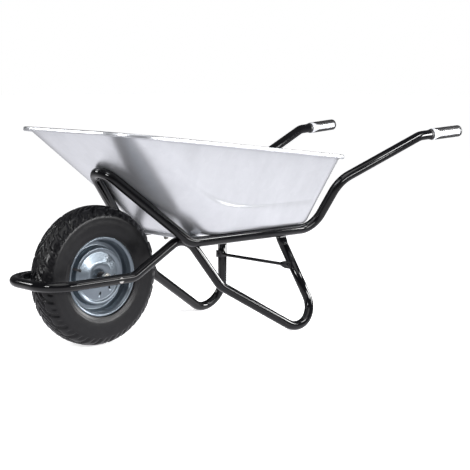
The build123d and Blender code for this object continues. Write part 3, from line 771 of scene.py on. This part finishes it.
def valve():
    """The rubber stem and its ribbed cap."""
    turn = radians(VALVE_TURN)
    foot, tip = (AXLE + Vector((r * cos(turn), y, r * sin(turn))) * MM for r, y in (VALVE_FOOT, VALVE_TIP))
    length = (tip - foot).length / MM
    stem = [(0.01, 0.0), (4.0, 0.0), (4.0, length - 6), (3.4, length - 5), (3.4, length - 0.2),
            (0.01, length - 0.2)]
    ahead = (tip - foot).normalized()
    piece("valve_stem_rubber", *lathe(stem, foot, ahead, SPIN, 32),
          BLACK, "wheel", "soft_black", "valve_stem")
    cap = [(0.01, 0.1)]
    for k in range(5):
        cap += [(4.6, 0.3 + k), (4.1, 0.8 + k)]
    cap += [(4.3, 5.4), (3.6, 6.0), (0.01, 6.0)]
    piece("valve_cap_ribbed", *lathe(cap, tip, ahead, SPIN, 32),
          BLACK, "wheel", "black_plastic", "valve_cap")


valve()


# ---- grips --------------------------------------------------------------------------------------
GRIP_LENGTH = 120.0
PAD_START, PAD_LENGTH = 12.5, 108.0      # the soft pads, measured from the grip's front end
PAD_R, PAD_RISE = 17.05, 1.5
DOME = [(17.0, 117.0), (18.4, 118.4), (18.6, 121.0), (18.1, 124.2), (15.8, 126.8), (10.5, 127.9),
        (0.01, 128.0)]


def grip(side, name):
    """A hard grey sleeve with soft black pads over and under it, and a soft rounded end."""
    end, top = (at(x, side * y, z) for x, y, z in (GRIP_END, HANDLE_TOP))
    back = (end - top).normalized()
    start = end - back * (GRIP_LENGTH * MM)
    over = (Vector((0, 0, 1)) - back * back.z).normalized()
    sleeve = rounded([(15.1, 0.0), (18.5, 0.0), (18.6, 11.0), (17.2, 16.0), (17.2, 119.0)], 2.5, 4)
    piece("grip_sleeve_" + name, *lathe(sleeve, start, back, over, 64), GREY, "frame", "grey_plastic",
          "grip_core_" + name)
    parts = []
    for up in (over, -over):
        across = back.cross(up)
        points = []
        for i in range(91):
            s = PAD_START + PAD_LENGTH * i / 90
            widening = soft_step(s, 19.0, 26.0) ** 0.6
            half = radians(10.0 + 56.0 * widening)
            rise = PAD_RISE * min(1.0, (s - PAD_START) / 3.0)
            rib = 0.18 * sin(2 * pi * s / 6.0) * soft_step(s, 34.0, 10.0) * (1 - soft_step(s, 108.0, 8.0))
            for j in range(33):
                t = -1 + j / 16
                edge = 1.0 - abs(t) ** 10
                r = PAD_R + (rise + rib) * edge
                out = up * cos(half * t) + across * sin(half * t)
                points.append(start + back * (s * MM) + out * (r * MM))
        parts.append((points, bridged(33, 91, closed=False)))
    parts.append(lathe(smoothed(DOME, 5), start, back, over, 64))
    piece("grip_pads_soft_" + name, *joined(*parts), SOFT, "frame", "soft_black", "grip_pads_" + name)
    cuff = [(15.1, -9.0), (15.9, -9.0), (16.4, -5.0), (17.4, -0.6), (17.3, -0.05), (15.1, -0.05)]
    cuff = rounded(cuff, 1.0, 3)
    piece("grip_cuff_soft_" + name, *lathe(cuff, start, back, over, 64), SOFT, "frame", "soft_black",
          "grip_cuff_" + name)


grip(LEFT, "left")
grip(RIGHT, "right")


# ---- camera, floor and light --------------------------------------------------------------------
def camera():
    """The camera from the front left, with a long lens."""
    yaw, pitch, roll = radians(-132.139), radians(-6.891), radians(0.438)
    ahead = Vector((cos(yaw) * cos(pitch), sin(yaw) * cos(pitch), sin(pitch)))
    right = ahead.cross(Vector((0, 0, 1))).normalized()
    up = right.cross(ahead)
    right, up = right * cos(roll) + up * sin(roll), up * cos(roll) - right * sin(roll)
    data = bpy.data.cameras.new("camera")
    data.sensor_width = 36.0
    data.lens = 103.104
    data.shift_x = -0.00458
    data.shift_y = -0.00829
    data.clip_end = 60.0
    obj = bpy.data.objects.new("camera", data)
    turn = Matrix((right, up, -ahead)).transposed().to_4x4()
    obj.matrix_world = Matrix.Translation(Vector((2.2383 + AXLE.x, 3.0776, 0.7865))) @ turn
    bpy.context.scene.collection.objects.link(obj)
    bpy.context.scene.camera = obj


def panel(name, place, target, width, height, power):
    """A soft rectangular light that faces a target."""
    data = bpy.data.lights.new(name, "AREA")
    data.shape = "RECTANGLE"
    data.size = width
    data.size_y = height
    data.energy = power
    obj = bpy.data.objects.new(name, data)
    obj.location = place
    obj.rotation_euler = (Vector(target) - Vector(place)).to_track_quat("-Z", "Y").to_euler()
    bpy.context.scene.collection.objects.link(obj)


def pale_floor():
    """Pale to the camera. The object sees it as a lit card under the barrow that fades outward."""
    material = bpy.data.materials.new("pale_floor")
    material.use_nodes = True
    tree = material.node_tree
    new, link = tree.nodes.new, tree.links.new
    pale, lift, card = new("ShaderNodeBsdfDiffuse"), new("ShaderNodeEmission"), new("ShaderNodeEmission")
    both, pick, ray = new("ShaderNodeAddShader"), new("ShaderNodeMixShader"), new("ShaderNodeLightPath")
    place, away, fade = new("ShaderNodeTexCoord"), new("ShaderNodeVectorMath"), new("ShaderNodeMapRange")
    away.operation = "LENGTH"
    pale.inputs["Color"].default_value = (0.93, 0.93, 0.93, 1.0)
    lift.inputs["Strength"].default_value = 0.68
    card.inputs["Color"].default_value = (0.97, 0.96, 1.0, 1.0)
    fade.inputs["From Min"].default_value = 0.75
    fade.inputs["From Max"].default_value = 1.9
    fade.inputs["To Min"].default_value = 1.15
    fade.inputs["To Max"].default_value = 0.34
    middle = new("ShaderNodeVectorMath")
    middle.operation = "SUBTRACT"
    middle.inputs[1].default_value = (0.3, 0.0, 0.0)
    link(place.outputs["Object"], middle.inputs[0])
    link(middle.outputs["Vector"], away.inputs[0])
    link(away.outputs["Value"], fade.inputs["Value"])
    link(fade.outputs["Result"], card.inputs["Strength"])
    link(pale.outputs[0], both.inputs[0])
    link(lift.outputs[0], both.inputs[1])
    link(ray.outputs["Is Camera Ray"], pick.inputs[0])
    link(card.outputs[0], pick.inputs[1])
    link(both.outputs[0], pick.inputs[2])
    link(pick.outputs[0], tree.nodes["Material Output"].inputs["Surface"])
    return material


def studio():
    """A wide floor, a sky that is white to the camera and dim to the object, and the lights."""
    mesh = bpy.data.meshes.new("floor")
    far = 30
    mesh.from_pydata([(-far, -far, 0), (far, -far, 0), (far, far, 0), (-far, far, 0)], [], [(0, 1, 2, 3)])
    ground = bpy.data.objects.new("floor", mesh)
    bpy.context.scene.collection.objects.link(ground)
    mesh.materials.append(pale_floor())
    world = bpy.data.worlds.new("studio")
    bpy.context.scene.world = world
    world.use_nodes = True
    tree = world.node_tree
    seen, around = tree.nodes["Background"], tree.nodes.new("ShaderNodeBackground")
    seen.inputs["Color"].default_value = (1.0, 1.0, 1.0, 1.0)
    around.inputs["Color"].default_value = (0.93, 0.94, 1.0, 1.0)
    around.inputs["Strength"].default_value = 0.10
    ray, mix = tree.nodes.new("ShaderNodeLightPath"), tree.nodes.new("ShaderNodeMixShader")
    tree.links.new(ray.outputs["Is Camera Ray"], mix.inputs[0])
    tree.links.new(around.outputs[0], mix.inputs[1])
    tree.links.new(seen.outputs[0], mix.inputs[2])
    tree.links.new(mix.outputs[0], tree.nodes["World Output"].inputs["Surface"])
    sun = bpy.data.lights.new("overhead", "SUN")
    sun.energy = 0.9
    sun.angle = radians(50)
    lamp = bpy.data.objects.new("overhead", sun)
    lamp.rotation_euler = Vector((0.25, 0.35, 1.0)).to_track_quat("Z", "Y").to_euler()
    bpy.context.scene.collection.objects.link(lamp)
    panel("side", (-0.7, 2.9, 0.85), (0.0, 0.0, 0.3), 2.0, 0.26, 45.0)
    panel("high", (-1.4, 2.0, 2.3), (0.2, 0.0, 0.3), 0.9, 0.35, 9.0)
    panel("front", (3.4, 0.9, 1.7), (0.3, 0.0, 0.3), 0.7, 0.5, 40.0)
    panel("top", (0.2, 0.3, 2.6), (0.1, 0.0, 0.3), 1.8, 0.4, 6.0)
    panel("handle", (-1.6, 1.15, 0.75), (-0.52, 0.25, 0.51), 0.8, 0.45, 45.0)
    panel("fork", (-0.8, 1.03, 1.2), (0.6, 0.12, 0.2), 0.35, 0.15, 5.0)
    panel("corner", (1.83, -1.6, 1.16), (0.73, -0.1, 0.2), 0.6, 0.5, 14.0)


camera()
studio()
bpy.context.scene.view_settings.view_transform = "Standard"
